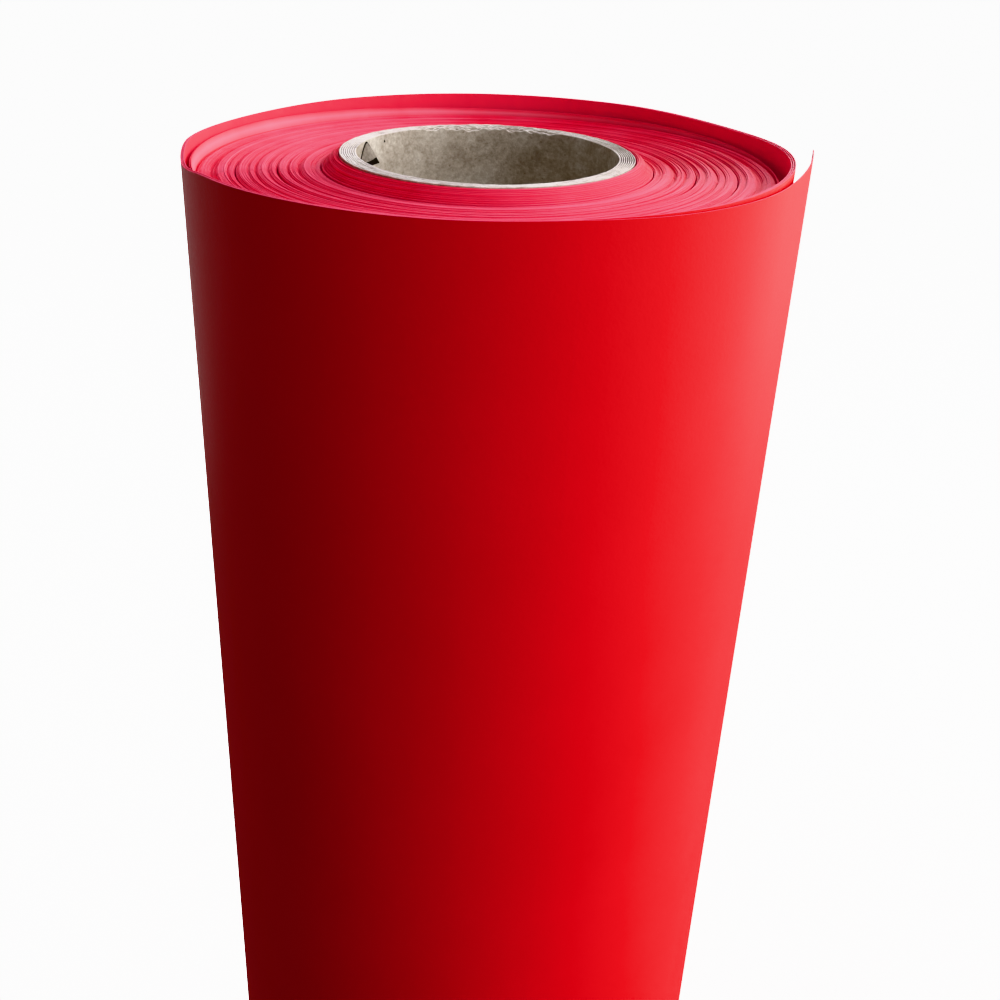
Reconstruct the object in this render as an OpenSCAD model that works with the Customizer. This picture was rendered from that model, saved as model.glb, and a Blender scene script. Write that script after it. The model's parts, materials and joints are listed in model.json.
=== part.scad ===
// Roll of self-adhesive sign vinyl on a spiral-wound paper core.
// The roll stands on end: +Z runs along the core, and the origin is the centre of the core's
// bore at the end that the roll stands on.
// The web is one strip of film on a release liner. It winds outwards anticlockwise, seen from
// above, with the film on the outside and the liner towards the core.

/* [Core] */
// Inside diameter of the paper core
core_bore_d = 76.2; // [70:0.1:78]
// Thickness of one paper ply
ply_t = 0.6; // [0.5:0.05:0.6]
// Length of the core
core_len = 613.9; // [613:0.1:620]

/* [Web] */
// Width of the web
web_w = 610; // [500:5:610]
// Thickness of the film with its adhesive
film_t = 0.16; // [0.1:0.01:0.2]
// Thickness of the release liner
liner_t = 0.15; // [0.1:0.01:0.2]
// Air left between one turn and the next
turn_air = 0.05; // [0.03:0.01:0.08]

/* [Wound pack] */
// Diameter over the last full turn
roll_d = 172; // [171:0.5:176]
// How far the loose outer turns stand above the rest of the pack
loose_lift = 6.3; // [2:0.1:10]
// How far the first turns on the core stand above the rest of the pack
core_wraps_lift = 3.5; // [0.5:0.1:5]
// Outside diameter of the first turns, which stay on the core
core_wraps_d = 96.4; // [94:0.1:98]
// Outside diameter of the inner turns
inner_wraps_d = 120.8; // [118:0.1:122]
// Outside diameter of the middle turns
middle_wraps_d = 144.4; // [142:0.1:146]
// Radial room for the groups of turns to slip past each other
slip_gap = 0.05; // [0.03:0.01:0.1]

/* [Free end] */
// Angle where the free end starts to lift off, from +X
lift_off_angle = -55; // [-70:1:-45]
// Angle where the free end leaves the roll on a tangent
tangent_angle = -25; // [-30:1:-15]
// Length of the straight part of the free end
straight_len = 52; // [52:1:66]
// Length of film that can be peeled from the liner
peel_len = 16; // [12:1:18]

/* [Hidden] */
CORE_PLIES = 8;
GLUE_LINE = 0.02;
TAPE_T = 0.08;
TAPE_CLEARANCE = 0.02;
TAPE_ARC = 26;
TAPE_STEPS = 10;
// The tape ends short of the web's edges
TAPE_END_MARGIN = 5;
LOOSE_T = 1.2;
PART_GAP = 0.3;
BOND_GAP = 0.02;
STATION_STEP = 2.5;
// How far the three stretches of the free end have dropped below the loose turns
TAIL_DROPS = [1.3, 1.7, 1.9];
// The first turns are level next to the core, and then slope down to the rest
LEVEL_WRAPS_T = 1;
SLOPE_FOOT_LIFT = 0.3;
// Slipped turns stand in ridges, which are level on top and slope down to a groove each side
RIDGE_LIFT = 0.45;
RIDGE_SLOPE_SHARE = 0.3;
// The outermost turns of the pack are level, and the roll stands on them
LEVEL_TURNS_T = 6;
// Where the straight part bends, as shares of its length
BEND_SHARES = [0.2, 0.6];
$fn = 96;

bore_r = core_bore_d / 2;
core_r = bore_r + CORE_PLIES * ply_t;
roll_r = roll_d / 2;
web_t = film_t + liner_t;
turn_pitch = web_t + turn_air;
wraps_start_r = core_r + 2 * TAPE_CLEARANCE + TAPE_T;
// Inner radius of the last full turn where it starts, under the free end
last_turn_r = roll_r - web_t - turn_pitch;
loose_out_r = last_turn_r - slip_gap;
loose_in_r = loose_out_r - LOOSE_T;
outer_wraps_r = loose_in_r - slip_gap;
last_turn_start = lift_off_angle - 360;
first_bend = straight_len * BEND_SHARES[0];
second_bend = straight_len * BEND_SHARES[1];
peel_start = straight_len - peel_len;
FILM = "#c8102e";
LINER = "#e87a8c";
WOUND = "#e04060";
PAPER = "#b3a594";

// ---- Shared shapes ----

module tube(r_in, r_out, z0, z1) {
    translate([0, 0, z0])
        difference() {
            cylinder(r = r_out, h = z1 - z0);
            translate([0, 0, -1])
                cylinder(r = r_in, h = z1 - z0 + 2);
        }
}

// Turns that have slipped along the roll together. Each edge is [radius, lift], and the two
// ends have the same profile because the web is the same width all along its length.
module wound_turns(edges) {
    n = len(edges);
    bottom = [for (i = [0 : n - 1]) [edges[i][0], edges[i][1]]];
    top = [for (i = [n - 1 : -1 : 0]) [edges[i][0], edges[i][1] + web_w]];
    rotate_extrude()
        polygon(concat(bottom, top));
}

function polar(r, angle) = [r * cos(angle), r * sin(angle)];

// Radius of the last turn's inner face, which grows by one pitch each turn
function web_r(angle) = last_turn_r + turn_pitch * (angle - last_turn_start) / 360;

// Points at one depth outside the web's inner face, from one angle to another
function wound_points(from, to, depth) =
    let (steps = ceil((to - from) / STATION_STEP))
    [for (i = [0 : steps])
        let (t = from + (to - from) * i / steps)
        polar(web_r(t) + depth, t)];

// The point at one depth, a distance s along the straight free end
function straight_point(s, depth) =
    polar(web_r(tangent_angle) + depth, tangent_angle) + polar(s, tangent_angle + 90);

// A thin sheet on edge, from its inner and outer points in the same order
module web_layer(inner, outer, lift, width = web_w) {
    last = len(outer) - 1;
    translate([0, 0, lift])
        linear_extrude(width)
            polygon(concat(inner, [for (i = [last : -1 : 0]) outer[i]]));
}

// One layer of the wound web between two angles, from depth a to depth b
module wound_layer(from, to, a, b, lift) {
    web_layer(wound_points(from, to, a), wound_points(from, to, b), lift);
}

// One layer of the straight free end, from s0 to s1 along it
module straight_layer(s0, s1, a, b, lift) {
    web_layer([straight_point(s0, a), straight_point(s1, a)],
              [straight_point(s0, b), straight_point(s1, b)], lift);
}

// ---- Paper core ----

module core_ply(i) {
    r_in = bore_r + (i - 1) * ply_t + (i > 1 ? GLUE_LINE : 0);
    color(PAPER)
        tube(r_in, bore_r + i * ply_t, 0, core_len);
}

// Tape that holds the start of the web on the core
module starter_tape() {
    r_in = core_r + TAPE_CLEARANCE;
    angles = [for (t = [-TAPE_ARC / 2 : TAPE_ARC / TAPE_STEPS : TAPE_ARC / 2]) t];
    color("wheat")
        web_layer([for (t = angles) polar(r_in, t)],
                  [for (t = angles) polar(r_in + TAPE_T, t)],
                  TAPE_END_MARGIN, web_w - 2 * TAPE_END_MARGIN);
}

// ---- Wound web, in groups of turns that slip past each other ----

// Edges of a number of ridges side by side
function ridge_edges(r_in, r_out, count) =
    let (step = (r_out - r_in) / count)
    [for (i = [0 : count - 1])
        let (start = r_in + step * i)
        each [[start, 0],
              [start + step * RIDGE_SLOPE_SHARE, RIDGE_LIFT],
              [start + step * (1 - RIDGE_SLOPE_SHARE), RIDGE_LIFT]],
     [r_out, 0]];

module core_wraps() {
    color(WOUND)
        wound_turns([[wraps_start_r, core_wraps_lift],
                     [wraps_start_r + LEVEL_WRAPS_T, core_wraps_lift],
                     [core_wraps_d / 2, SLOPE_FOOT_LIFT]]);
}

module inner_wraps() {
    color(WOUND)
        wound_turns(ridge_edges(core_wraps_d / 2 + slip_gap, inner_wraps_d / 2, 2));
}

module middle_wraps() {
    color(WOUND)
        wound_turns(ridge_edges(inner_wraps_d / 2 + slip_gap, middle_wraps_d / 2, 2));
}

module outer_wraps() {
    level_r = outer_wraps_r - LEVEL_TURNS_T;
    ridge = ridge_edges(middle_wraps_d / 2 + slip_gap, level_r, 1);
    color(WOUND)
        wound_turns(concat(ridge, [[outer_wraps_r, 0]]));
}

module loose_wraps() {
    color(WOUND)
        tube(loose_in_r, loose_out_r, loose_lift, loose_lift + web_w);
}

module last_turn_liner() {
    color(LINER)
        wound_layer(last_turn_start, lift_off_angle, 0, liner_t, loose_lift);
}

module last_turn_film() {
    color(FILM)
        wound_layer(last_turn_start, lift_off_angle, liner_t + BOND_GAP, web_t, loose_lift);
}

// ---- Free end ----

// How far a stretch of the free end stands above the pack's lowest turns
function tail_lift(i) = loose_lift - TAIL_DROPS[i];

// The part that still hugs the roll, with the first straight stretch
module tail_1_layer(a, b) {
    start = lift_off_angle + PART_GAP / roll_r * 180 / PI;
    end = first_bend - PART_GAP / 2;
    web_layer(concat(wound_points(start, tangent_angle, a), [straight_point(end, a)]),
              concat(wound_points(start, tangent_angle, b), [straight_point(end, b)]),
              tail_lift(0));
}

module tail_1_liner() {
    color(LINER)
        tail_1_layer(0, liner_t);
}

module tail_1_film() {
    color(FILM)
        tail_1_layer(liner_t + BOND_GAP, web_t);
}

module tail_2_layer(a, b) {
    straight_layer(first_bend + PART_GAP / 2, second_bend - PART_GAP / 2, a, b, tail_lift(1));
}

module tail_2_liner() {
    color(LINER)
        tail_2_layer(0, liner_t);
}

module tail_2_film() {
    color(FILM)
        tail_2_layer(liner_t + BOND_GAP, web_t);
}

module tail_3_liner() {
    color(LINER)
        straight_layer(second_bend + PART_GAP / 2, straight_len, 0, liner_t, tail_lift(2));
}

// Film on the last stretch, which is in three parts because the outer two peel off the liner
module tail_3_film_part(s0, s1) {
    color(FILM)
        straight_layer(s0, s1, liner_t + BOND_GAP, web_t, tail_lift(2));
}

module tail_3_film() {
    tail_3_film_part(second_bend + PART_GAP / 2, peel_start - PART_GAP / 2);
}

module peel_1_film() {
    tail_3_film_part(peel_start + PART_GAP / 2, peel_start + (peel_len - PART_GAP) / 2);
}

module peel_2_film() {
    tail_3_film_part(peel_start + (peel_len + PART_GAP) / 2, straight_len);
}

core_ply(1);  // core_ply_1
core_ply(2);  // core_ply_2
core_ply(3);  // core_ply_3
core_ply(4);  // core_ply_4
core_ply(5);  // core_ply_5
core_ply(6);  // core_ply_6
core_ply(7);  // core_ply_7
core_ply(8);  // core_ply_8
starter_tape();
core_wraps();
inner_wraps();
middle_wraps();
outer_wraps();
loose_wraps();
last_turn_liner();
last_turn_film();
tail_1_liner();
tail_1_film();
tail_2_liner();
tail_2_film();
tail_3_liner();
tail_3_film();
peel_1_film();
peel_2_film();
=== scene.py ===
import json
import math

import bpy
import numpy as np
from mathutils import Matrix, Vector


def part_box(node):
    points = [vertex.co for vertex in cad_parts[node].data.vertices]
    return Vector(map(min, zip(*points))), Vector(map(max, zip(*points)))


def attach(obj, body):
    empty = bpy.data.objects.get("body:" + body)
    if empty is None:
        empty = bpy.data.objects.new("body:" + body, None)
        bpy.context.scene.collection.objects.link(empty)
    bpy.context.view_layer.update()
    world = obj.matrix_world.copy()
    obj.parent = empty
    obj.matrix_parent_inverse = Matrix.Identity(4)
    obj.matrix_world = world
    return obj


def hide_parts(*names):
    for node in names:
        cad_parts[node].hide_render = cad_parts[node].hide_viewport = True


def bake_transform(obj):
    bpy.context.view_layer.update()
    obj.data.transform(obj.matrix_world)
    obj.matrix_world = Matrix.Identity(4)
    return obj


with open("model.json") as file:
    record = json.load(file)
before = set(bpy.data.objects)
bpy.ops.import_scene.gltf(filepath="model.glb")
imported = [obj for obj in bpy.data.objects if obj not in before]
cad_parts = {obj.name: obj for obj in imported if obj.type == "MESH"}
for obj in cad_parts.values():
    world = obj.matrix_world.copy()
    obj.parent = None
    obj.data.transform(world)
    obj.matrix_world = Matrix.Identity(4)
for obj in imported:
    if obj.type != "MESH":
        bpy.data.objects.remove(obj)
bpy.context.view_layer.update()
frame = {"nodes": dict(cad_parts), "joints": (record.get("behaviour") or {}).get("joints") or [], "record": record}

MM = 0.001

# Angles are in degrees anticlockwise from +X, seen from above; the front is at -90.

# ---------------------------------------------------------------- sizes from the frame


def radius_of(node):
    """Outer radius of a round CAD node, in metres."""
    low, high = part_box(node)
    return max(abs(low.x), abs(high.x), abs(low.y), abs(high.y))


def mount(name):
    """One of the record's mounts, by name."""
    return next(m for m in frame["record"]["mounts"] if m["name"] == name)


def pivot(joint):
    """A joint's axis, as a point in plan."""
    found = next(j for j in frame["joints"] if j["name"] == joint)
    return np.array(found["pos_m"][:2])


BORE_R = mount("core_bore")["dims"]["r_mm"] * MM
CORE_R = radius_of("core_ply_8")
CORE_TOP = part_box("core_ply_8")[1].z
PLIES = 8
PLY_T = (CORE_R - BORE_R) / PLIES
WEB_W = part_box("tail_2_liner")[1].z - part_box("tail_2_liner")[0].z
FIRST_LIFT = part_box("core_wraps")[1].z - WEB_W
LOOSE_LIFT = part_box("loose_wraps")[0].z
RIM_Z = LOOSE_LIFT + WEB_W
PACK_R = radius_of("outer_wraps")

# The web, from the inside out: liner, film, then the air before the next turn
LINER_T = 0.15 * MM
FILM_T = 0.16 * MM
BOND_GAP = 0.01 * MM
WEB_T = LINER_T + FILM_T
LAYER_DEPTHS = {"liner": (0, LINER_T - BOND_GAP), "film": (LINER_T, WEB_T)}
PACK_PITCH = 0.349 * MM
LOOSE_PITCH = 0.37 * MM
SLIP_GAP = 0.05 * MM

# The roll's end is a little out of square, rising to the right and to the back
END_SLOPE = np.array([0.0175, 0.0056])
CORE_SLOPE = np.array([0.0084, 0.0086])

# ---------------------------------------------------------------- curves and noise


def bump(angle, centre, width):
    """A smooth hump of height 1 round an angle, that is nothing past its half width."""
    d = (angle - centre + 180) % 360 - 180
    return np.where(np.abs(d) < width, 0.5 + 0.5 * np.cos(np.pi * d / width), 0.0)


def ramp(x, low, high):
    """A smooth step from 0 at low to 1 at high."""
    t = np.clip((x - low) / (high - low), 0, 1)
    return t * t * (3 - 2 * t)


def wander(x, lengths, seed):
    """Slow, repeatable unevenness along x, made of a few waves of the given lengths."""
    waves = np.random.RandomState(seed)
    total = np.zeros_like(x)
    for length in lengths:
        total += np.sin(2 * np.pi * (x / length + waves.rand()))
    return total / len(lengths)


def directions(angle):
    """Unit vectors in plan at angles in degrees."""
    a = np.radians(angle)
    return np.stack([np.cos(a), np.sin(a)], -1)


def normals_of(plan):
    """Outward normals of an anticlockwise path in plan."""
    tangent = np.gradient(plan, axis=0)
    tangent /= np.linalg.norm(tangent, axis=1)[:, None]
    return np.stack([tangent[:, 1], -tangent[:, 0]], -1)


# ---------------------------------------------------------------- mesh helpers

# Material slots of a sheet: its two faces, and its cut edges
OUTER_FACE, INNER_FACE, CUT_EDGE = 0, 1, 2
# How far the middle of a slit edge stands up, as a share of the sheet's thickness
CROWN = 0.35


def new_mesh(name, verts, faces, materials, slots, smooth=None):
    """A mesh object. slots holds a material index for each face, and smooth a flag."""
    mesh = bpy.data.meshes.new(name)
    mesh.from_pydata([tuple(v) for v in verts], [], [tuple(f) for f in faces])
    for made in materials:
        mesh.materials.append(made)
    mesh.polygons.foreach_set("material_index", np.asarray(slots, np.int32))
    flags = np.ones(len(faces), bool) if smooth is None else smooth
    mesh.polygons.foreach_set("use_smooth", flags)
    mesh.update()
    piece = bpy.data.objects.new(name, mesh)
    bpy.context.scene.collection.objects.link(piece)
    return piece


def grid_quads(a, flip):
    """Quads between neighbouring stations of a grid of vertex numbers, stations by rows."""
    q = np.stack([a[:-1, :-1], a[1:, :-1], a[1:, 1:], a[:-1, 1:]], -1).reshape(-1, 4)
    return q[:, ::-1] if flip else q


def strip_quads(a, b):
    """Quads between two equally long runs of vertex numbers."""
    return np.stack([a[:-1], a[1:], b[1:], b[:-1]], -1)


def mark_sharp(piece, corners):
    """Make the edges that join two of the given vertices sharp."""
    ends = np.empty(2 * len(piece.data.edges), np.int32)
    piece.data.edges.foreach_get("vertices", ends)
    at_corner = np.isin(ends.reshape(-1, 2), corners)
    mark = piece.data.attributes.new("sharp_edge", "BOOLEAN", "EDGE")
    mark.data.foreach_set("value", at_corner.all(axis=1))


def sheet(name, inner, outer, materials, collar=False):
    """A closed thin sheet between two grids of points (stations by rows by 3).

    materials are those of the outer face, the inner face and the cut edges. With a collar, the
    rows above the lowest of each face take the edges' material.
    """
    n, m = outer.shape[:2]
    crown = (outer[:, -1] + inner[:, -1]) / 2
    crown[:, 2] += CROWN * np.linalg.norm(outer[:, -1] - inner[:, -1], axis=1)
    verts = np.concatenate([outer.reshape(-1, 3), inner.reshape(-1, 3), crown])
    o = np.arange(n * m).reshape(n, m)
    i = o + n * m
    c = 2 * n * m + np.arange(n)

    crown_quads = np.concatenate([strip_quads(o[:, -1], c), strip_quads(c, i[:, -1])])
    flat_quads = np.concatenate([strip_quads(i[:, 0], o[:, 0]), strip_quads(o[0], i[0]),
                                 strip_quads(i[-1], o[-1])])
    quads = np.concatenate([grid_quads(o, False), grid_quads(i, True), crown_quads, flat_quads])
    # The triangles that close the crown at the strip's two ends
    caps = [[o[0, -1], c[0], i[0, -1]], [o[-1, -1], i[-1, -1], c[-1]]]

    face_slots = np.full((2, n - 1, m - 1), OUTER_FACE)
    face_slots[1] = INNER_FACE
    if collar:
        face_slots[:, :, 1:] = CUT_EDGE
    flat = len(flat_quads) + len(caps)
    slots = np.concatenate([face_slots.ravel(), np.full(len(crown_quads) + flat, CUT_EDGE)])
    smooth = np.arange(len(slots)) < len(slots) - flat
    piece = new_mesh(name, verts, quads.tolist() + caps, materials, slots, smooth)
    # The corners between a face and its slit edge are sharp
    mark_sharp(piece, np.concatenate([o[:, -1], i[:, -1]]))
    return piece


def add_tone(piece, values, rows):
    """Store a number for each station or point, which the edge material reads as its shade."""
    grid = values if values.ndim == 2 else np.repeat(values[:, None], rows, axis=1)
    tone = piece.data.attributes.new("tone", "FLOAT", "POINT")
    tone.data.foreach_set("value", np.concatenate([grid.ravel(), grid.ravel(), grid[:, -1]]))


def lap_tone(lap, seed):
    """A shade that differs from each turn to the next, and drifts along each turn."""
    laps = 400
    table = np.random.RandomState(seed).rand(laps)
    return np.interp(lap % (laps - 1), np.arange(laps), table)


def wall_points(plan, normal, lift, foot, depth, rows, push=0.0, raised=0.0):
    """A grid of points on one face of the web, stations by rows.

    The lower edge is flat, at the height foot. rows are heights as shares of the web's width,
    push moves points outwards and raised up.
    """
    tall = lift - foot + WEB_W + plan @ END_SLOPE
    z = foot + tall[:, None] * rows[None, :] + raised
    offset = np.broadcast_to(depth + push, (len(plan), len(rows)))
    xy = plan[:, None, :] + normal[:, None, :] * offset[:, :, None]
    return np.concatenate([xy, z[:, :, None]], -1)


# ---------------------------------------------------------------- materials


def material(name):
    """A new node material. Returns it with its nodes, its links and its shader."""
    made = bpy.data.materials.new(name)
    made.use_nodes = True
    nodes, links = made.node_tree.nodes, made.node_tree.links
    return made, nodes, links, nodes["Principled BSDF"]


def place(nodes, links, stretch=(1, 1, 1)):
    """Object coordinates, stretched."""
    where = nodes.new("ShaderNodeTexCoord")
    mapping = nodes.new("ShaderNodeMapping")
    mapping.inputs["Scale"].default_value = stretch
    links.new(where.outputs["Object"], mapping.inputs["Vector"])
    return mapping.outputs["Vector"]


def noise(nodes, links, where, scale, detail, roughness=0.55):
    """A cloudy noise. scale is the number of clouds in a metre."""
    node = nodes.new("ShaderNodeTexNoise")
    node.inputs["Scale"].default_value = scale
    node.inputs["Detail"].default_value = detail
    node.inputs["Roughness"].default_value = roughness
    links.new(where, node.inputs["Vector"])
    return node.outputs["Fac"]


def colours(nodes, links, factor, stops):
    """A colour ramp. stops are (position, colour)."""
    node = nodes.new("ShaderNodeValToRGB")
    elements = node.color_ramp.elements
    elements[0].position, elements[0].color = stops[0][0], (*stops[0][1], 1)
    elements[1].position, elements[1].color = stops[-1][0], (*stops[-1][1], 1)
    for position, colour in stops[1:-1]:
        element = elements.new(position)
        element.color = (*colour, 1)
    links.new(factor, node.inputs["Fac"])
    return node.outputs["Color"]


def vary(nodes, links, factor, low, high):
    """A number between low and high, from a factor."""
    node = nodes.new("ShaderNodeMapRange")
    node.inputs["To Min"].default_value = low
    node.inputs["To Max"].default_value = high
    links.new(factor, node.inputs["Value"])
    return node.outputs["Result"]


def added(nodes, links, first, second):
    """The sum of two numbers."""
    node = nodes.new("ShaderNodeMath")
    node.operation = "ADD"
    links.new(first, node.inputs[0])
    links.new(second, node.inputs[1])
    return node.outputs["Value"]


def bumps(nodes, links, layers):
    """Bump nodes in a chain. layers are (height, distance in metres, strength)."""
    normal = None
    for height, distance, strength in layers:
        node = nodes.new("ShaderNodeBump")
        node.inputs["Distance"].default_value = distance
        node.inputs["Strength"].default_value = strength
        links.new(height, node.inputs["Height"])
        if normal is not None:
            links.new(normal, node.inputs["Normal"])
        normal = node.outputs["Normal"]
    return normal


def film_face_material():
    """Satin red vinyl with a fine orange-peel grain."""
    made, nodes, links, shader = material("vinyl_film")
    where = place(nodes, links)
    cloud = noise(nodes, links, where, scale=14, detail=3)
    grain = noise(nodes, links, where, scale=1300, detail=2)
    peel = noise(nodes, links, where, scale=420, detail=2)
    red = colours(nodes, links, cloud, [(0.3, (0.73, 0.0002, 0.0050)),
                                        (0.7, (0.78, 0.0004, 0.0065))])
    links.new(red, shader.inputs["Base Color"])
    links.new(vary(nodes, links, grain, 0.50, 0.62), shader.inputs["Roughness"])
    shader.inputs["Specular IOR Level"].default_value = 0.15
    # The web isn't quite smooth along its length
    swell = noise(nodes, links, place(nodes, links, (1, 1, 0.12)), scale=20, detail=2)
    normal = bumps(nodes, links, [(swell, 0.0012, 0.30), (peel, 0.00012, 0.35),
                                  (grain, 0.00006, 0.6)])
    links.new(normal, shader.inputs["Normal"])
    return made


def film_back_material():
    """The film's adhesive side."""
    made, nodes, links, shader = material("vinyl_adhesive")
    tack = noise(nodes, links, place(nodes, links), scale=260, detail=4)
    red = colours(nodes, links, tack, [(0.35, (0.40, 0.030, 0.040)),
                                       (0.65, (0.48, 0.045, 0.055))])
    links.new(red, shader.inputs["Base Color"])
    links.new(vary(nodes, links, tack, 0.22, 0.40), shader.inputs["Roughness"])
    links.new(bumps(nodes, links, [(tack, 0.0001, 0.4)]), shader.inputs["Normal"])
    return made


def edge_material(name, low, high, rough):
    """Slit edges, whose shade varies from turn to turn and along each turn; on the pack the tone they read also
    holds painted highlight and shade.
    """
    made, nodes, links, shader = material(name)
    patch = noise(nodes, links, place(nodes, links), scale=60, detail=3)
    tone = nodes.new("ShaderNodeAttribute")
    tone.attribute_name = "tone"
    shade = added(nodes, links, vary(nodes, links, patch, -0.1, 0.5),
                  vary(nodes, links, tone.outputs["Fac"], 0.0, 0.6))
    colour = colours(nodes, links, shade, [(0.1, low), (0.9, high)])
    links.new(colour, shader.inputs["Base Color"])
    shader.inputs["Roughness"].default_value = rough
    shader.inputs["Specular IOR Level"].default_value = 0.2
    links.new(bumps(nodes, links, [(patch, 0.0003, 0.3)]), shader.inputs["Normal"])
    return made


def liner_face_material():
    """The clear liner's back, with the film's red showing through it."""
    made, nodes, links, shader = material("liner_over_film")
    cloud = noise(nodes, links, place(nodes, links), scale=30, detail=3)
    streak = noise(nodes, links, place(nodes, links, (1, 1, 0.05)), scale=90, detail=3)
    red = colours(nodes, links, streak, [(0.3, (0.92, 0.048, 0.105)),
                                         (0.7, (0.96, 0.066, 0.125))])
    links.new(red, shader.inputs["Base Color"])
    links.new(vary(nodes, links, cloud, 0.42, 0.54), shader.inputs["Roughness"])
    shader.inputs["Specular IOR Level"].default_value = 0.2
    links.new(bumps(nodes, links, [(streak, 0.0002, 0.25)]), shader.inputs["Normal"])
    return made


def clear_liner_material():
    """The liner on its own, hazy and clear."""
    made, nodes, links, shader = material("liner_clear")
    haze = noise(nodes, links, place(nodes, links), scale=120, detail=3)
    tint = colours(nodes, links, haze, [(0.3, (0.78, 0.50, 0.52)), (0.7, (0.86, 0.62, 0.64))])
    links.new(tint, shader.inputs["Base Color"])
    links.new(vary(nodes, links, haze, 0.22, 0.36), shader.inputs["Roughness"])
    links.new(vary(nodes, links, haze, 0.26, 0.36), shader.inputs["Alpha"])
    links.new(bumps(nodes, links, [(haze, 0.0001, 0.2)]), shader.inputs["Normal"])
    return made


def paper_material(name, low, mid, high, fibre_strength, flecks=0.45):
    """Grey-brown chipboard with mottling, flecks and short fibres."""
    made, nodes, links, shader = material(name)
    where = place(nodes, links)
    mottle = noise(nodes, links, where, scale=95, detail=5, roughness=0.6)
    fibre = noise(nodes, links, place(nodes, links, (1, 1, 1.2)), scale=620, detail=4,
                  roughness=0.7)
    fleck = nodes.new("ShaderNodeTexVoronoi")
    fleck.inputs["Scale"].default_value = 330
    links.new(where, fleck.inputs["Vector"])
    shade = added(nodes, links, vary(nodes, links, mottle, -0.2, 0.75),
                  vary(nodes, links, fibre, -0.2, 0.65))
    base = colours(nodes, links, shade, [(0.15, low), (0.5, mid), (0.85, high)])
    dark = colours(nodes, links, fleck.outputs["Distance"], [(0.05, (0.35, 0.30, 0.26)),
                                                             (0.13, (1.0, 1.0, 1.0))])
    tint = nodes.new("ShaderNodeMix")
    tint.data_type = "RGBA"
    tint.blend_type = "MULTIPLY"
    tint.inputs["Factor"].default_value = flecks
    links.new(base, tint.inputs["A"])
    links.new(dark, tint.inputs["B"])
    links.new(tint.outputs["Result"], shader.inputs["Base Color"])
    shader.inputs["Roughness"].default_value = 0.92
    shader.inputs["Specular IOR Level"].default_value = 0.2
    normal = bumps(nodes, links, [(mottle, 0.0006, 0.35), (fibre, 0.0003, fibre_strength)])
    links.new(normal, shader.inputs["Normal"])
    return made


def tape_material():
    """Creped paper tape."""
    made, nodes, links, shader = material("masking_tape")
    crepe = noise(nodes, links, place(nodes, links, (1, 1, 3)), scale=500, detail=3)
    tan = colours(nodes, links, crepe, [(0.3, (0.62, 0.50, 0.30)), (0.7, (0.74, 0.62, 0.40))])
    links.new(tan, shader.inputs["Base Color"])
    shader.inputs["Roughness"].default_value = 0.8
    links.new(bumps(nodes, links, [(crepe, 0.0002, 0.5)]), shader.inputs["Normal"])
    return made


film_face = film_face_material()
film_back = film_back_material()
film_edge = edge_material("film_edge", (0.74, 0.006, 0.034), (0.98, 0.12, 0.22), 0.5)
liner_edge = edge_material("liner_edge", (0.82, 0.012, 0.052), (1.0, 0.22, 0.37), 0.6)
liner_proud = edge_material("liner_proud", (0.92, 0.045, 0.10), (1.0, 0.27, 0.40), 0.55)
liner_face = liner_face_material()
liner_clear = clear_liner_material()
paper_wall = paper_material("core_paper", (0.27, 0.215, 0.165), (0.52, 0.45, 0.375),
                            (0.78, 0.73, 0.655), fibre_strength=0.6)
paper_edge = paper_material("core_paper_cut", (0.44, 0.36, 0.34), (0.76, 0.68, 0.67),
                            (0.98, 0.93, 0.92), fibre_strength=0.9, flecks=0.85)
paper_torn = paper_material("core_paper_torn", (0.10, 0.08, 0.065), (0.24, 0.20, 0.165),
                            (0.42, 0.37, 0.32), fibre_strength=0.9)
# Near-black paper that paints the shadow in gaps and pits on the bore's wall
shadow_paper = paper_material("core_painted_shadow", (0.006, 0.004, 0.003), (0.012, 0.009, 0.007),
                            (0.02, 0.016, 0.013), fibre_strength=0.4)
tape = tape_material()

# Materials of a sheet's outer face, inner face and cut edges
WOUND_LINER = [liner_face, liner_face, liner_edge]
WOUND_FILM = [film_face, film_back, film_edge]
PROUD_LINER = [liner_face, liner_face, liner_proud]
BARE_LINER = [liner_clear, liner_clear, liner_edge]
WOUND = {"liner": WOUND_LINER, "film": WOUND_FILM}

# ---------------------------------------------------------------- wound pack

PACK_STATIONS = 112
PACK_CUT = 120.0
# Ridges that the slipped turns make on the roll's end: radius, half width and rise, in mm
RIDGES = [(51.9, 1.5, 0.42), (55.8, 0.8, 0.26), (59.1, 1.0, 0.42), (61.7, 0.6, 0.34),
          (64.5, 1.1, 0.45), (67.4, 0.6, 0.28), (70.0, 1.1, 0.38), (73.4, 0.5, 0.28),
          (75.2, 0.9, 0.50), (76.4, 0.5, 0.30), (80.9, 1.1, 0.38)]
RIDGE_POWER = 3
# Sunken turns between the ridges: radius, half width and depth, in mm
GROOVES = [(50.6, 0.30, 0.30), (54.3, 0.50, 0.65), (57.3, 0.35, 0.40), (60.5, 0.45, 0.45),
           (62.8, 0.35, 0.42), (66.4, 0.40, 0.55), (68.6, 0.30, 0.32), (72.1, 0.40, 0.25),
           (74.1, 0.30, 0.32), (78.3, 0.80, 0.60), (82.4, 0.40, 0.45)]
GROOVE_POWER = 2
# The first turns step down from the core to the rest of the pack between these radii, in mm
FIRST_SLOPE = (43.6, 48.4)
# A shallow dip at the back: depth, its angle and half width, and the radii where it sets in
BACK_DIP = 0.5 * MM
BACK_DIP_AT = (80, 60)
BACK_DIP_FROM = (56, 64)
# Turns stand unevenly, more so on the first turns' slope, up to these radii in mm
UNEVEN = 0.15 * MM
SLOPE_UNEVEN = 0.12 * MM
SLOPE_UNEVEN_TO = (46, 50)
# Wave lengths of the unevenness, in turns, and the seed that places the waves
UNEVEN_WAVES = [((2.13, 3.63, 1.49), 3), ((2.937, 5.713, 4.37), 5)]
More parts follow.
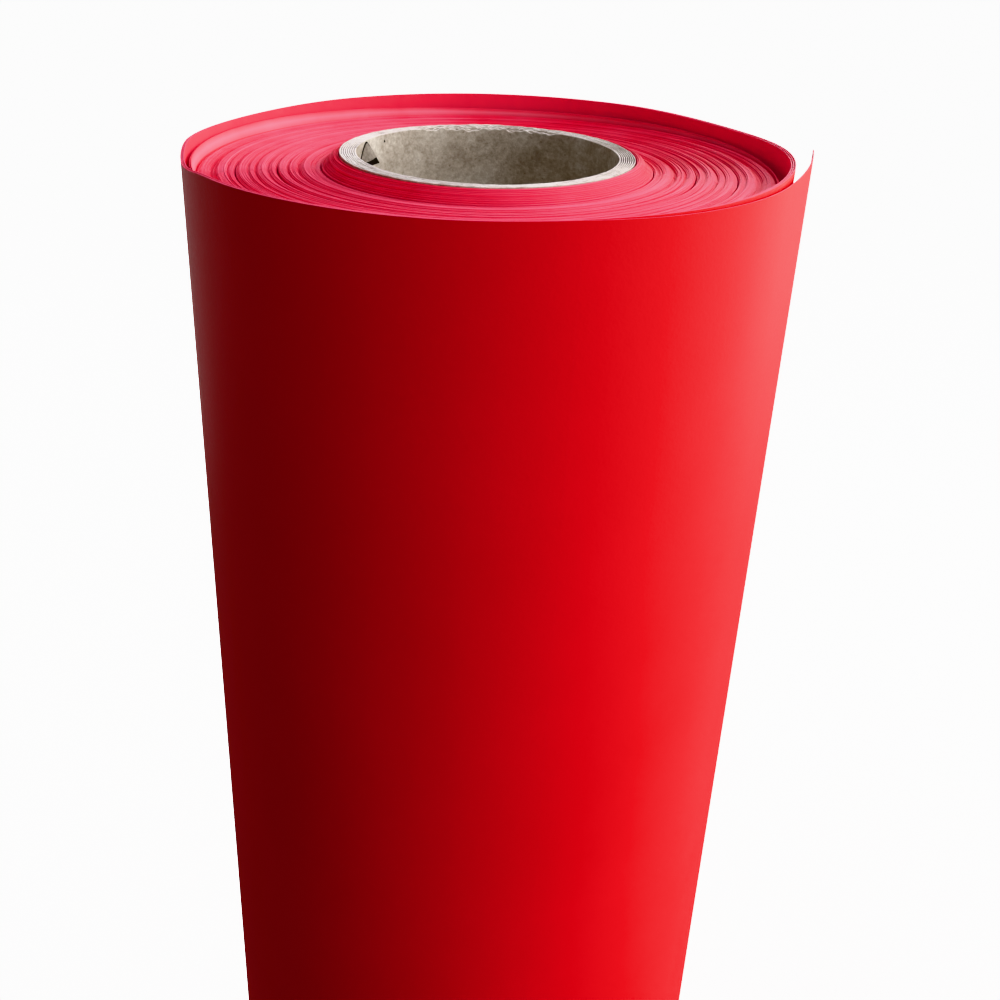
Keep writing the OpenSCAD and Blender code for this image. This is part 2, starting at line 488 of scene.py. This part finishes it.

# Painted light on the edges, by place: a painted highlight makes them paler at the front,
# towards the free end, and painted shadow makes them darker at the back and at the front
# left of the first turns' slope. Places are an angle and a half width.
PAINTED_LIGHT = 0.45
PAINTED_HIGHLIGHT_AT = (-55, 60)
PAINTED_SHADOW_AT = (50, 75)
PAINTED_SHADOW_SHARE = 1.2
SLOPE_PAINTED_SHADE_AT = (-145, 90)
SLOPE_PAINTED_SHADE_TO = (46.5, 49)
# An edge's shade is partly its turn's own, and partly painted light by its height on the
# roll's end: paler on ridges, as if lit, and darker in grooves, as if shaded
OWN_SHARE, RELIEF_PAINT_SHARE = 0.4, 0.6
RELIEF_PAINT_LEVEL = 0.40
RELIEF_PAINT_RISE = 0.9 * MM
LAYER_SEEDS = {"liner": 11, "film": 12}
# The part of each turn's faces that takes the edge's material
COLLAR = 0.7 * MM

# The pack's outermost turns, where the liner stands proud of the film and leans outwards,
# but not at the right, near the free end
PROUD_R = 82.9 * MM
PROUD = 2.3 * MM
PROUD_MORE = 1.2 * MM
PROUD_MORE_AT = (155, 80)
PROUD_LINE = 0.3 * MM
PROUD_LEAN = 1.0 * MM
PROUD_LEAN_AT = (165, 110)
NOT_PROUD_AT = (-20, 85)
PROUD_MIDDLE = 0.55
PROUD_OWN_SHARE = 0.3
# Shades of the proud liner's rows, from the foot up: a painted highlight down the middle of the band, with painted
# shade towards its foot and its top
PROUD_ROW_HIGHLIGHT_PAINT = np.array([[0.2, 0.35, 0.9, -0.2]])
PROUD_CLEARANCE = 0.02 * MM
TAPE_CLEARANCE = 0.14 * MM


def slope_lift(r):
    """How far the first turns' slope stands above the pack's lowest turns."""
    return FIRST_LIFT * (1 - ramp(r / MM, *FIRST_SLOPE))


def pack_lift(r, angle, turn):
    """How far a turn of the pack stands above the lowest turns."""
    r_mm = r / MM
    lift = slope_lift(r)
    for radius, half, rise in RIDGES:
        lift = lift + rise * MM * np.exp(-(np.abs(r_mm - radius) / half) ** RIDGE_POWER)
    for radius, half, depth in GROOVES:
        lift = lift - depth * MM * np.exp(-(np.abs(r_mm - radius) / half) ** GROOVE_POWER)
    lift = lift - BACK_DIP * bump(angle, *BACK_DIP_AT) * ramp(r_mm, *BACK_DIP_FROM)
    uneven = sum(wander(turn, lengths, seed) for lengths, seed in UNEVEN_WAVES)
    return lift + (UNEVEN + SLOPE_UNEVEN * (1 - ramp(r_mm, *SLOPE_UNEVEN_TO))) * uneven


def pack_turns(r_from, r_to):
    """Stations of one group of packed turns: plan points, outward normals, lift and turn."""
    turns = max(1, int((r_to - r_from - WEB_T) / PACK_PITCH))
    pitch = (r_to - r_from - WEB_T) / turns
    turn = np.linspace(0, turns, turns * PACK_STATIONS + 1)
    angle = PACK_CUT + 360 * turn
    r = r_from + pitch * turn
    lap = turn + r_from / PACK_PITCH
    normal = directions(angle)
    return normal * r[:, None], normal, pack_lift(r, angle, lap), lap


def painted_edge_light(r, angle, lift):
    """Painted highlight and shade on a turn's slit edges: paler on ridges and at the front, darker in grooves, at
    the back and on the first turns' slope.
    """
    light_by_height = np.clip(RELIEF_PAINT_LEVEL + (lift - slope_lift(r)) / RELIEF_PAINT_RISE, 0, 1)
    light_by_place = PAINTED_LIGHT * (bump(angle, *PAINTED_HIGHLIGHT_AT) - PAINTED_SHADOW_SHARE * bump(angle, *PAINTED_SHADOW_AT))
    slope_shade_mask = 1 - ramp(r / MM, *SLOPE_PAINTED_SHADE_TO)
    light_by_place = light_by_place - PAINTED_LIGHT * slope_shade_mask * bump(angle, *SLOPE_PAINTED_SHADE_AT)
    return RELIEF_PAINT_SHARE * light_by_height + light_by_place


def proud_rows(angle):
    """Rises and leans of the rows of a liner that stands proud of its film."""
    share = 1 - bump(angle, *NOT_PROUD_AT)
    top = (PROUD + PROUD_MORE * bump(angle, *PROUD_MORE_AT)) * share
    lean = PROUD_LEAN * bump(angle, *PROUD_LEAN_AT)
    none = np.zeros(len(angle))
    raised = np.stack([none, PROUD_LINE * share, PROUD_MIDDLE * top, top], -1)
    return raised, np.stack([none, none, lean / 2, lean], -1)


def pack_group(name, body, r_from, r_to, proud=False):
    """One group of packed turns, as a strip of liner and a strip of film."""
    plan, normal, lift, lap = pack_turns(r_from, r_to)
    angle = np.degrees(np.arctan2(plan[:, 1], plan[:, 0]))
    # Painted highlight and shade on the edges, by their height and their place
    edge_light_paint = painted_edge_light(np.linalg.norm(plan, axis=1), angle, lift)
    rows = np.array([0.0, 1.0, 1.0, 1.0])
    collar = np.array([[0.0, -COLLAR, -COLLAR / 2, 0.0]])
    pieces = []
    for layer, slot in (("liner", "liner"), ("film", "wound_web")):
        shade = OWN_SHARE * lap_tone(lap, LAYER_SEEDS[layer]) + edge_light_paint
        raised, lean, materials = collar, 0.0, WOUND[layer]
        if proud and layer == "liner":
            raised, lean = proud_rows(angle)
            shade = shade[:, None] * PROUD_OWN_SHARE + PROUD_ROW_HIGHLIGHT_PAINT
            materials = PROUD_LINER
        grids = [wall_points(plan, normal, lift, 0.0, depth, rows, lean, raised)
                 for depth in LAYER_DEPTHS[layer]]
        piece = sheet(f"{layer}_{name}", *grids, materials, collar=True)
        add_tone(piece, shade, len(rows))
        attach(piece, body)
        pieces.append(piece)
    return pieces


r_from = CORE_R + TAPE_CLEARANCE
for body, r_to in (("core", radius_of("core_wraps")), ("inner", radius_of("inner_wraps")),
                   ("middle", radius_of("middle_wraps")), ("outer", PROUD_R)):
    liner, film = pack_group(f"{body}_wraps", body, r_from, r_to)
    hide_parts(f"{body}_wraps")
    r_from = r_to + SLIP_GAP
pack_group("outer_edge", "outer", PROUD_R + PROUD_CLEARANCE, PACK_R, proud=True)

# ---------------------------------------------------------------- loose turns and last turn

LOOSE_R = 86.0 * MM
LOOSE_TURNS = 3
LOOSE_STATIONS = 180
LAST_STATIONS = 240
# The outermost stations of a stretch stand this close together
SEAM_ANGLE = 0.03
# Where the loose turns start, where the last of them starts, and where the free end takes over
LOOSE_START = -80.0 - 360 * LOOSE_TURNS
LAST_START = -55.0 - 360
JOIN = -75.0
# The angle at which the last turn's outside has the radius LOOSE_R
LOOSE_R_AT = -290.0
# The loose turns stand apart towards the free end, each a little more than the one inside it
LOOSE_GAP = 0.45 * MM
LOOSE_GAP_STEP = 0.16 * MM
LOOSE_GAP_AT = (-14, 62)
# Behind that they are pressed in
PRESSED_IN = 1.0 * MM
PRESSED_AT = (30, 30)
# How the loose turns' rim departs from a plane: angle, half width and rise in mm
RIM_WAVES = [(97, 50, 0.40), (157, 34, -0.70), (26, 34, -0.75), (-122, 30, 0.25),
             (-48, 36, -0.45), (-162, 18, -1.9)]
RIM_UNEVEN = 0.12 * MM
RIM_UNEVEN_WAVES = (1.31, 0.83)
RIM_SEED = 9
# The loose turns flare out over the upper half of their height
FLARE = 0.5 * MM
FLARE_FROM = 0.5
FLARE_POWER = 1.3

# Shades of the slit edges: the darkest, how much paler they get, the degrees over which one
# shade changes to the next, and a seed
LOOSE_TONES = (0.5, 0.5, 360, 13)
LAST_TONES = (0.6, 0.3, 90, 14)

# Rows on the sheets that show: close together near the top, wider lower down
SHEET_ROWS = np.concatenate([np.linspace(0, 0.75, 46)[:-1], np.linspace(0.75, 1, 61)])
LOOSE_ROWS = np.array([0.0, 0.5, 0.7, 0.85, 1.0])


def loose_path(angle):
    """The loose turns' inner face, from their first turn to the lift-off of the free end.

    The angle grows past a full turn. Returns plan points and lift.
    """
    turn = (angle - LOOSE_R_AT) / 360
    layer = turn + LOOSE_TURNS
    r = LOOSE_R - WEB_T + LOOSE_PITCH * turn
    r = r + (LOOSE_GAP + LOOSE_GAP_STEP * layer) * bump(angle, *LOOSE_GAP_AT)
    r = r - PRESSED_IN * bump(angle, *PRESSED_AT)
    lift = LOOSE_LIFT + RIM_UNEVEN * wander(angle / 360, RIM_UNEVEN_WAVES, RIM_SEED)
    for centre, width, rise in RIM_WAVES:
        lift = lift + rise * MM * bump(angle, centre, width)
    return directions(angle) * r[:, None], lift


def flare(rows):
    """How far the loose turns stand out, at heights given as shares of the web's width."""
    share = np.clip((rows - FLARE_FROM) / (1 - FLARE_FROM), 0, None)
    return FLARE * share[None, :] ** FLARE_POWER


def stations(first, last, per_turn):
    """Angles along a stretch, with one more close to each end for a clean seam."""
    a = np.linspace(first, last, int(round((last - first) / 360 * per_turn)) + 1)
    return np.concatenate([a[:1], [first + SEAM_ANGLE], a[1:-1], [last - SEAM_ANGLE], a[-1:]])


def loose_tones(angles, least, spread, period, seed):
    """Shades of the slit edges along a stretch of the loose turns."""
    # The offset keeps the count of turns above zero
    return least + spread * lap_tone(angles / period + 50, seed)


def loose_layers(name, angles, rows, tones):
    """The liner and the film of a stretch of the loose turns, as two closed sheets."""
    plan, lift = loose_path(angles)
    normal = normals_of(plan)
    pieces = []
    for layer in ("liner", "film"):
        grids = [wall_points(plan, normal, lift, LOOSE_LIFT, depth, rows, flare(rows))
                 for depth in LAYER_DEPTHS[layer]]
        piece = sheet(f"{layer}_{name}", *grids, WOUND[layer])
        add_tone(piece, tones, len(rows))
        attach(piece, "loose")
        pieces.append(piece)
    return pieces


angles = stations(LOOSE_START, LAST_START, LOOSE_STATIONS)
tones = loose_tones(angles, *LOOSE_TONES)
liner, film = loose_layers("loose_wraps", angles, LOOSE_ROWS, tones)
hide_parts("loose_wraps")

angles = stations(LAST_START, JOIN, LAST_STATIONS)
tones = loose_tones(angles, *LAST_TONES)
liner, film = loose_layers("last_turn", angles, SHEET_ROWS, tones)
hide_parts("last_turn_liner")
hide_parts("last_turn_film")

# ---------------------------------------------------------------- free end

TAIL_END = 7.5
TAIL_STATIONS = 166
TAIL_STEP = 1.5 * MM
TAIL_TONE = 0.7
# The outermost stations of each of its pieces stand this close together
SEAM = 0.05 * MM
# Each bend is spread over the web, this far on either side of its axis
BEND_1_HALF = 6 * MM
BEND_2_HALF = 5 * MM
# The film's last bend stops this far short of its free edge
EDGE_MARGIN = 1 * MM
# The free end stands off steadily, in metres for each degree, after a gentle start
TAIL_RISE = 0.040 * MM
TAIL_EASE = 8
# From here on it springs away, in metres for each square degree
SPRING_FROM = -25
SPRING = 0.0085 * MM
# Its rim hangs lower than the last turn's
TAIL_DROP = 2.0 * MM
TAIL_DROP_OVER = 35


def tail_path(angle):
    """The free end's inner face from where it starts to stand off, to its free edge."""
    start, start_lift = loose_path(np.array([JOIN]))
    past = angle - JOIN
    r = np.linalg.norm(start[0])
    r = r + TAIL_RISE * (past - TAIL_EASE + TAIL_EASE * np.exp(-past / TAIL_EASE))
    r = r + SPRING * np.clip(angle - SPRING_FROM, 0, None) ** 2
    lift = start_lift[0] - TAIL_DROP * (1 - np.exp(-past / TAIL_DROP_OVER))
    return directions(angle) * r[:, None], lift


tail_plan, tail_lift = tail_path(np.linspace(JOIN, TAIL_END, TAIL_STATIONS))
tail_normal = normals_of(tail_plan)
# Distance along the free end from the join
tail_s = np.concatenate([[0], np.cumsum(np.linalg.norm(np.diff(tail_plan, axis=0), axis=1))])


def along(joint):
    """Distance along the free end of the point nearest to a joint's axis."""
    return tail_s[np.argmin(np.linalg.norm(tail_plan - pivot(joint), axis=1))]


def at_distance(s, values):
    """Values along the free end, two to a station, at other distances."""
    return np.stack([np.interp(s, tail_s, values[:, k]) for k in (0, 1)], -1)


def tail_stretch(s0, s1):
    """Stations between two distances along the free end."""
    s = np.linspace(s0, s1, max(2, int(round((s1 - s0) / TAIL_STEP)) + 1))
    s = np.concatenate([s[:1], [s0 + SEAM], s[1:-1], [s1 - SEAM], s[-1:]])
    normal = at_distance(s, tail_normal)
    normal /= np.linalg.norm(normal, axis=1)[:, None]
    return at_distance(s, tail_plan), normal, np.interp(s, tail_s, tail_lift)


def tail_piece(layer, body, stretch, materials):
    """One layer of one stretch of the free end, in place of its CAD part."""
    plan, normal, lift = tail_stretch(*stretch)
    grids = [wall_points(plan, normal, lift, LOOSE_LIFT, depth, SHEET_ROWS, flare(SHEET_ROWS))
             for depth in LAYER_DEPTHS[layer]]
    piece = sheet(f"{layer}_{body}", *grids, materials)
    add_tone(piece, np.full(len(plan), TAIL_TONE), len(SHEET_ROWS))
    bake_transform(piece)
    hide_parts(f"{body}_{layer}")


S_LIFT = along("tail_lift")
S_BEND_1 = along("tail_bend_1")
S_BEND_2 = along("tail_bend_2")
S_PEEL_1 = along("film_peel_1")
S_PEEL_2 = along("film_peel_2")
S_END = tail_s[-1]
MID_1 = (S_LIFT + S_BEND_1) / 2
MID_2 = (S_BEND_1 + S_BEND_2) / 2
# Where the first two bends begin and end, and where the film's last one ends
ZONE_1 = (S_BEND_1 - BEND_1_HALF, S_BEND_1 + BEND_1_HALF)
ZONE_2 = (S_BEND_2 - BEND_2_HALF, S_BEND_2 + BEND_2_HALF)
BEND_END = S_END - EDGE_MARGIN

# Each piece: its layer, its body, the body before it, its stretch and where it bends
for layer, body, before, stretch, zone, materials in (
        ("liner", "tail_1", "loose", (0, MID_1), (S_LIFT, MID_1), WOUND_LINER),
        ("liner", "tail_2", "tail_1", (MID_1, MID_2), ZONE_1, WOUND_LINER),
        ("liner", "tail_3", "tail_2", (MID_2, S_END), ZONE_2, BARE_LINER),
        ("film", "tail_1", "loose", (0, MID_1), (S_LIFT, MID_1), WOUND_FILM),
        ("film", "tail_2", "tail_1", (MID_1, MID_2), ZONE_1, WOUND_FILM),
        ("film", "tail_3", "tail_2", (MID_2, S_PEEL_1), (ZONE_2[0], S_PEEL_1), WOUND_FILM),
        ("film", "peel_1", "tail_3", (S_PEEL_1, S_PEEL_2), (S_PEEL_1, S_PEEL_2), WOUND_FILM),
        ("film", "peel_2", "peel_1", (S_PEEL_2, S_END), (S_PEEL_2, BEND_END), WOUND_FILM)):
    tail_piece(layer, body, stretch, materials)

# ---------------------------------------------------------------- paper core

CORE_STATIONS = 360
core_angle = np.linspace(0, 360, CORE_STATIONS, endpoint=False)
# Rows of a ply, as shares of its height, close together at the top
CORE_ROWS = np.array([0, 0.3, 0.6, 0.85, 0.95, 0.985, 0.993, 0.997, 0.9995, 1.0])
PLY_GAP = 0.02 * MM
PLY_CROWN = 0.07 * MM
# Near the top each ply thins by this much a side, most at the right, so dark lines show
PARTING = 0.05 * MM
PARTING_MORE = 0.11 * MM
PARTING_AT = (10, 75)
PARTING_FROM = 0.985
# The cut edge is slightly ragged all round; wave lengths are shares of a turn
RAGGED = 0.10 * MM
RAGGED_WAVES = (1 / 3, 1 / 7, 1 / 13, 1 / 29, 1 / 53)
RAGGED_SEED = 20
# The back of the rim is torn, between two angles at each end, and most on the inner plies
TORN_FROM = (52, 66)
TORN_TO = (116, 128)
TORN_ROUGH = 0.95 * MM
TORN_DEPTH = 0.75 * MM
TORN_OUTER_SHARE = 0.15
TORN_WAVES = (1 / 9, 1 / 17, 1 / 37, 1 / 71)
TORN_SEED = 40
TORN_ROWS_FROM = 0.97
# The front of the rim falls towards the bore
BEVEL = 0.35 * MM
BEVEL_AT = (270, 100)


def rim_height(index):
    """How far the top edge of a ply stands above or below its even height."""
    turn = core_angle / 360
    inner_share = (PLIES - index) / (PLIES - 1)
    ragged = RAGGED * wander(turn, RAGGED_WAVES, RAGGED_SEED + index)
    torn = ramp(core_angle, *TORN_FROM) * (1 - ramp(core_angle, *TORN_TO))
    torn = torn * (TORN_OUTER_SHARE + (1 - TORN_OUTER_SHARE) * inner_share)
    torn_edge = wander(turn, TORN_WAVES, TORN_SEED + index)
    top = ragged + torn * (TORN_ROUGH * torn_edge - TORN_DEPTH)
    return top - BEVEL * inner_share * bump(core_angle, *BEVEL_AT)


def core_ply(index):
    """One ply of the core, with a ragged top edge and plies that part near the top."""
    r_in = BORE_R + (index - 1) * PLY_T + (PLY_GAP if index > 1 else 0)
    r_out = BORE_R + index * PLY_T
    top = rim_height(index)
    parting = PARTING + PARTING_MORE * bump(core_angle, *PARTING_AT)
    thinned = parting[:, None] * ramp(CORE_ROWS, PARTING_FROM, 1.0)[None, :]
    normal = directions(core_angle)

    def wall(r, side):
        z = (CORE_TOP + normal @ CORE_SLOPE * r_out)[:, None] * CORE_ROWS[None, :]
        z = z + top[:, None] * ramp(CORE_ROWS, TORN_ROWS_FROM, 1.0)[None, :]
        xy = normal[:, None, :] * (r + side * thinned)[:, :, None]
        return np.concatenate([xy, z[:, :, None]], -1)

    inside = wall(r_in, 1 if index > 1 else 0)
    outside = wall(r_out, -1)
    crown = (inside[:, -1] + outside[:, -1]) / 2
    crown[:, 2] += PLY_CROWN
    n, m = CORE_STATIONS, len(CORE_ROWS)
    verts = np.concatenate([outside.reshape(-1, 3), inside.reshape(-1, 3), crown])
    # The last station is the first again
    wrap = np.append(np.arange(n), 0)
    o = np.arange(n * m).reshape(n, m)[wrap]
    i = o + n * m
    c = wrap + 2 * n * m
    walls = np.concatenate([grid_quads(o, False), grid_quads(i, True)])
    cuts = np.concatenate([strip_quads(o[:, -1], c), strip_quads(c, i[:, -1]),
                           strip_quads(i[:, 0], o[:, 0])])
    slots = np.repeat([0, 1], [len(walls), len(cuts)])
    piece = new_mesh(f"paper_ply_{index}", verts, np.concatenate([walls, cuts]),
                     [paper_wall, paper_edge], slots)
    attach(piece, "core")
    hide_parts(f"core_ply_{index}")


# Patches of paper on the bore's wall: thickness in mm, and stations across and down
PATCH_T = 0.12
PATCH_ACROSS = np.linspace(-1, 1, 13)
PATCH_DOWN = np.linspace(1, 0.04, 7)
# A patch's sides curve: its width grows as this power of the distance from its point
PATCH_POWER = 0.8


def bore_patch(name, made, centre, half_angle, top, base, inset=0.03, bulge=0.0):
    """A pointed patch of paper on the bore's wall, widening downwards. Depths are in mm."""
    across, down = PATCH_ACROSS[:, None], PATCH_DOWN[None, :]
    angle = np.radians(centre + half_angle * across * down ** PATCH_POWER)
    hump = np.cos(across * np.pi / 2) * down
    z = CORE_TOP - (top + (base - top) * np.broadcast_to(down, angle.shape)) * MM

    def face(depth):
        r = BORE_R - (inset + bulge * hump + depth) * MM
        return np.stack([r * np.cos(angle), r * np.sin(angle), z], -1)

    piece = sheet(name, face(PATCH_T), face(0.0), [made, made, made])
    add_tone(piece, np.zeros(len(PATCH_ACROSS)), len(PATCH_DOWN))
    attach(piece, "core")


for index in range(1, PLIES + 1):
    core_ply(index)

# A torn tongue of the inner ply; near-black patches round it and at a small pit paint the
# shadow in the gap and the pit
bore_patch("gap_painted_shadow", shadow_paper, centre=163.0, half_angle=12.5, top=0.3, base=8.2)
bore_patch("paper_tongue", paper_torn, centre=163.4, half_angle=9.6, top=0.8, base=5.9,
           inset=0.35, bulge=1.2)
bore_patch("pit_painted_shadow", shadow_paper, centre=146.5, half_angle=0.5, top=1.6, base=2.4)

tape_object = frame["nodes"]["starter_tape"]
tape_object.data.materials.clear()
tape_object.data.materials.append(tape)

# ---------------------------------------------------------------- camera

scene = bpy.context.scene
IMAGE = 1000
FOCAL = 1198.35
SENSOR = 36.0
NEAR_CLIP = 0.01
PITCH, ROLL, YAW = (math.radians(v) for v in (27.293, 2.661, -1.323))
# The camera's distance in front of the roll's axis and height above its rim, in roll radii
EYE_BACK, EYE_UP = 4.1316, 0.7871


def photo_camera():
    """The camera at the photograph's viewing angle."""
    right = Vector((math.cos(YAW), math.sin(YAW), 0))
    forward = Vector((-math.sin(YAW) * math.cos(PITCH), math.cos(YAW) * math.cos(PITCH),
                      -math.sin(PITCH)))
    up = right.cross(forward)
    tilted_right = right * math.cos(ROLL) + up * math.sin(ROLL)
    tilted_up = up * math.cos(ROLL) - right * math.sin(ROLL)
    data = bpy.data.cameras.new("camera")
    data.sensor_width = SENSOR
    data.lens = SENSOR * FOCAL / IMAGE
    data.clip_start = NEAR_CLIP
    camera = bpy.data.objects.new("camera", data)
    turned = Matrix((tilted_right, tilted_up, -forward)).transposed().to_4x4()
    eye = Vector((0, -EYE_BACK * LOOSE_R, RIM_Z + EYE_UP * LOOSE_R))
    camera.matrix_world = Matrix.Translation(eye) @ turned
    scene.collection.objects.link(camera)
    scene.camera = camera


photo_camera()

# ---------------------------------------------------------------- floor and light

STUDIO_R, STUDIO_H, STUDIO_SIDES = 30.0, 40.0, 64
FLOOR_Z = -0.0005
FLOOR_GLOW = 2.6
WORLD_LIGHT = 0.13
WHITE = (1, 1, 1, 1)


def floor_material():
    """Plain pale paint that glows enough to look near white."""
    made, *_, shader = material("floor_paint")
    shader.inputs["Base Color"].default_value = (0.6, 0.6, 0.6, 1)
    shader.inputs["Roughness"].default_value = 0.9
    shader.inputs["Specular IOR Level"].default_value = 0.1
    shader.inputs["Emission Color"].default_value = WHITE
    shader.inputs["Emission Strength"].default_value = FLOOR_GLOW
    return made


def studio_floor():
    """A round floor whose edge turns up into a high wall, so that no horizon shows."""
    around = [2 * math.pi * k / STUDIO_SIDES for k in range(STUDIO_SIDES)]
    ring = [(STUDIO_R * math.cos(a), STUDIO_R * math.sin(a)) for a in around]
    verts = [(x, y, z) for z in (0, STUDIO_H) for x, y in ring]
    faces = [tuple(range(STUDIO_SIDES))]
    for k in range(STUDIO_SIDES):
        after = (k + 1) % STUDIO_SIDES
        faces.append((after, k, STUDIO_SIDES + k, STUDIO_SIDES + after))
    mesh = bpy.data.meshes.new("floor")
    mesh.from_pydata(verts, [], faces)
    mesh.materials.append(floor_material())
    floor = bpy.data.objects.new("floor", mesh)
    floor.location.z = FLOOR_Z
    # The bright floor shows, but throws no light of its own on the roll
    floor.visible_diffuse = False
    floor.visible_glossy = False
    scene.collection.objects.link(floor)


def panel(name, position, target, size, watts):
    """A soft light panel that faces a target. Its size is its width and height."""
    data = bpy.data.lights.new(name, "AREA")
    data.shape = "RECTANGLE"
    data.size, data.size_y = size
    data.energy = watts
    lamp = bpy.data.objects.new(name, data)
    aim = Vector(target) - Vector(position)
    lamp.rotation_euler = aim.to_track_quat("-Z", "Y").to_euler()
    lamp.location = position
    scene.collection.objects.link(lamp)


studio_floor()
panel("key", position=(1.3, 0.0, 1.15), target=(0, 0.0, 1.15), size=(3.1, 2.3), watts=79)
panel("top", position=(0.2, 0.0, 2.4), target=(0, 0, 0), size=(1.8, 1.8), watts=20)
panel("back", position=(0.50, 1.3, 0.98), target=(0, 0, 0.61), size=(1.0, 0.6), watts=7)
panel("rear", position=(-1.3, 1.1, 0.15), target=(0, 0, 0.3), size=(1.5, 0.8), watts=5)

world = bpy.data.worlds.new("studio")
scene.world = world
world.use_nodes = True
world.node_tree.nodes["Background"].inputs["Color"].default_value = WHITE
world.node_tree.nodes["Background"].inputs["Strength"].default_value = WORLD_LIGHT

scene.view_settings.view_transform = "Khronos PBR Neutral"
scene.view_settings.look = "None"
